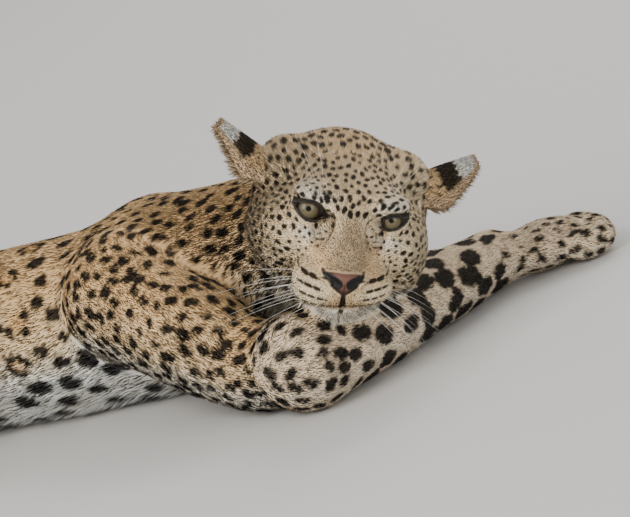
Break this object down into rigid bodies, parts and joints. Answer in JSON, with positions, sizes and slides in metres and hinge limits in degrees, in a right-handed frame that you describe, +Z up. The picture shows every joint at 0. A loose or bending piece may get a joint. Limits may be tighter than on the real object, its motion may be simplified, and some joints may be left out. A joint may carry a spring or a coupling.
{
  "type": "resting leopard",
  "caption": "Life-size spotted leopard lying on the floor with its chin on its right forearm, as a still display model of one body.",
  "frame": {"origin": "on the floor under the chest, in the middle of the flat where the chest rests", "axes": "+X towards the head end along the body, +Y to the animal's left, +Z up"},
  "size_m": [1.2373, 0.4774, 0.2542],
  "materials": {
    "coat": "short dense fur, golden with black spots",
    "eye": "wet, grey-green iris"
  },
  "bodies": {
    "root": {"forearm_right": "coat", "forepaw_right": "coat", "hindfoot_right": "coat", "forearm_left": "coat", "forepaw_left": "coat", "hindfoot_left": "coat", "eye_right": "eye", "eye_left": "eye", "face": "coat", "skull": "coat", "jaw": "coat", "ear_right": "coat", "ear_left": "coat", "foreleg_right": "coat", "hindleg_right": "coat", "foreleg_left": "coat", "hindleg_left": "coat", "neck": "coat", "chest": "coat", "belly": "coat", "rump": "coat", "tail_root": "coat", "tail_bend": "coat", "tail_length": "coat", "tail_tip": "coat"}
  },
  "joints": []
}
